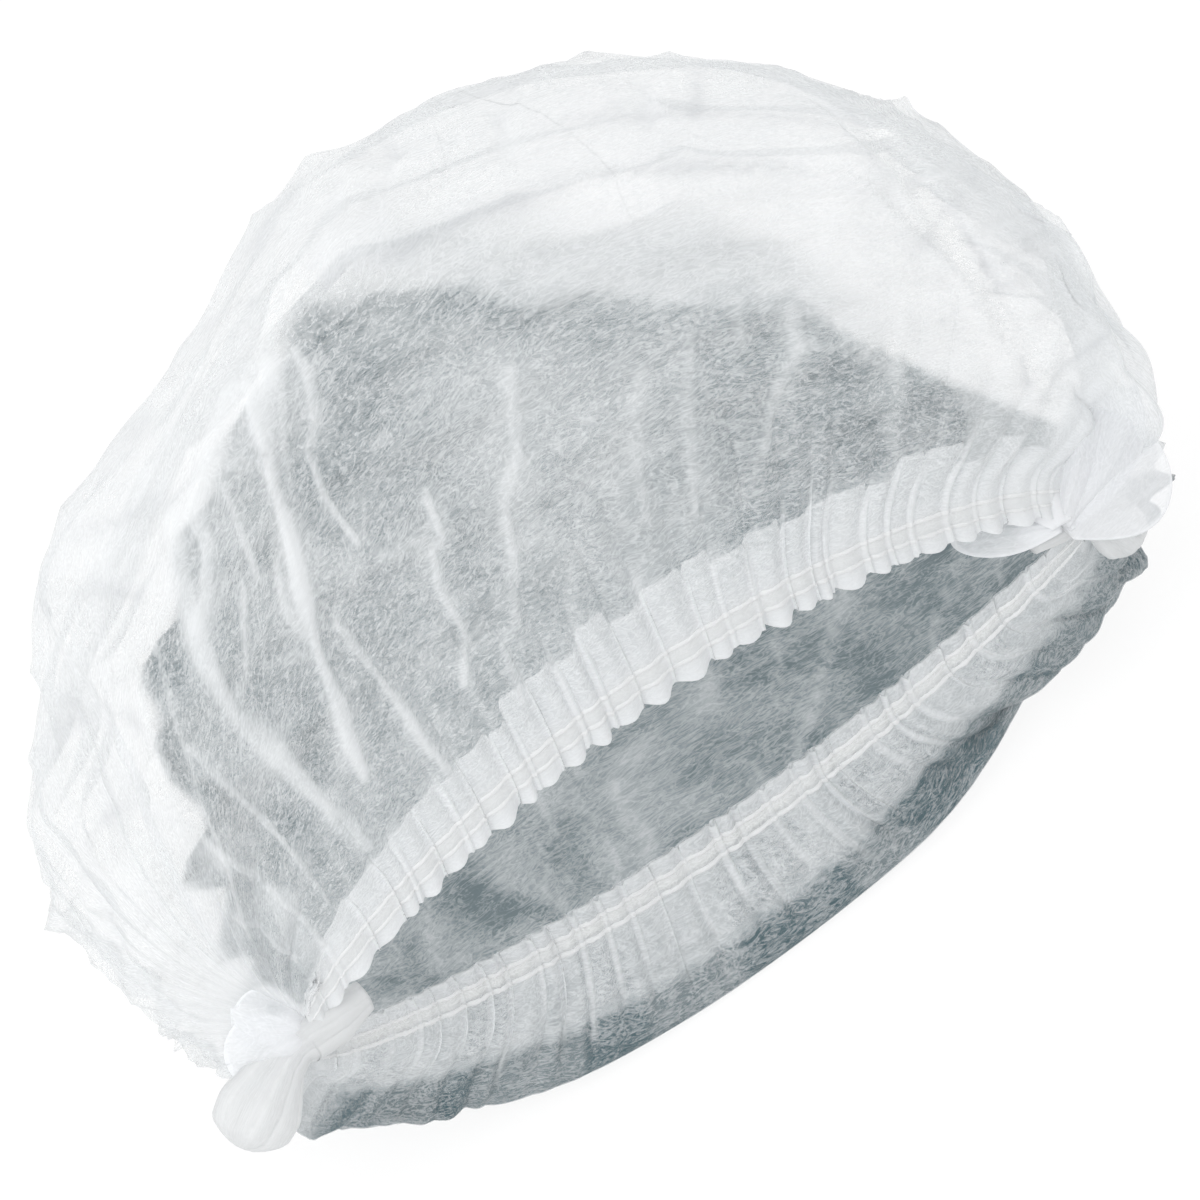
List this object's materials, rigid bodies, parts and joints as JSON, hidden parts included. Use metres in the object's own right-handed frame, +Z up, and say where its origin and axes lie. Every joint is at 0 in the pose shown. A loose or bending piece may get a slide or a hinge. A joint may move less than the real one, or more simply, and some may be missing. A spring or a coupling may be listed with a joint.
{
  "type": "disposable bouffant cap",
  "caption": "Thin nonwoven bouffant cap, opened out and lying on its side: a puffed sheet gathered at both ends, with elastic hems along the slit that the head goes in by.",
  "frame": {"origin": "on the surface that the cap lies on, below the middle of its bounding box", "axes": "+X along the slit from the left gathered end to the right one, -Y out of the slit, +Z up"},
  "size_m": [0.306, 0.1594, 0.1948],
  "materials": {
    "nonwoven": "thin white spun-bonded nonwoven, matte and translucent",
    "nonwoven_hem": "the same cloth, doubled, so whiter",
    "nonwoven_gathered": "the same cloth in many tight plies, nearly opaque",
    "elastic": "flat off-white elastic, matte"
  },
  "bodies": {
    "root": {"crown_sheet": "nonwoven", "hem_upper": "nonwoven_hem", "hem_lower": "nonwoven_hem", "elastic_upper": "elastic", "elastic_lower": "elastic", "tail_left": "nonwoven_gathered", "tail_right": "nonwoven_gathered"}
  },
  "joints": []
}
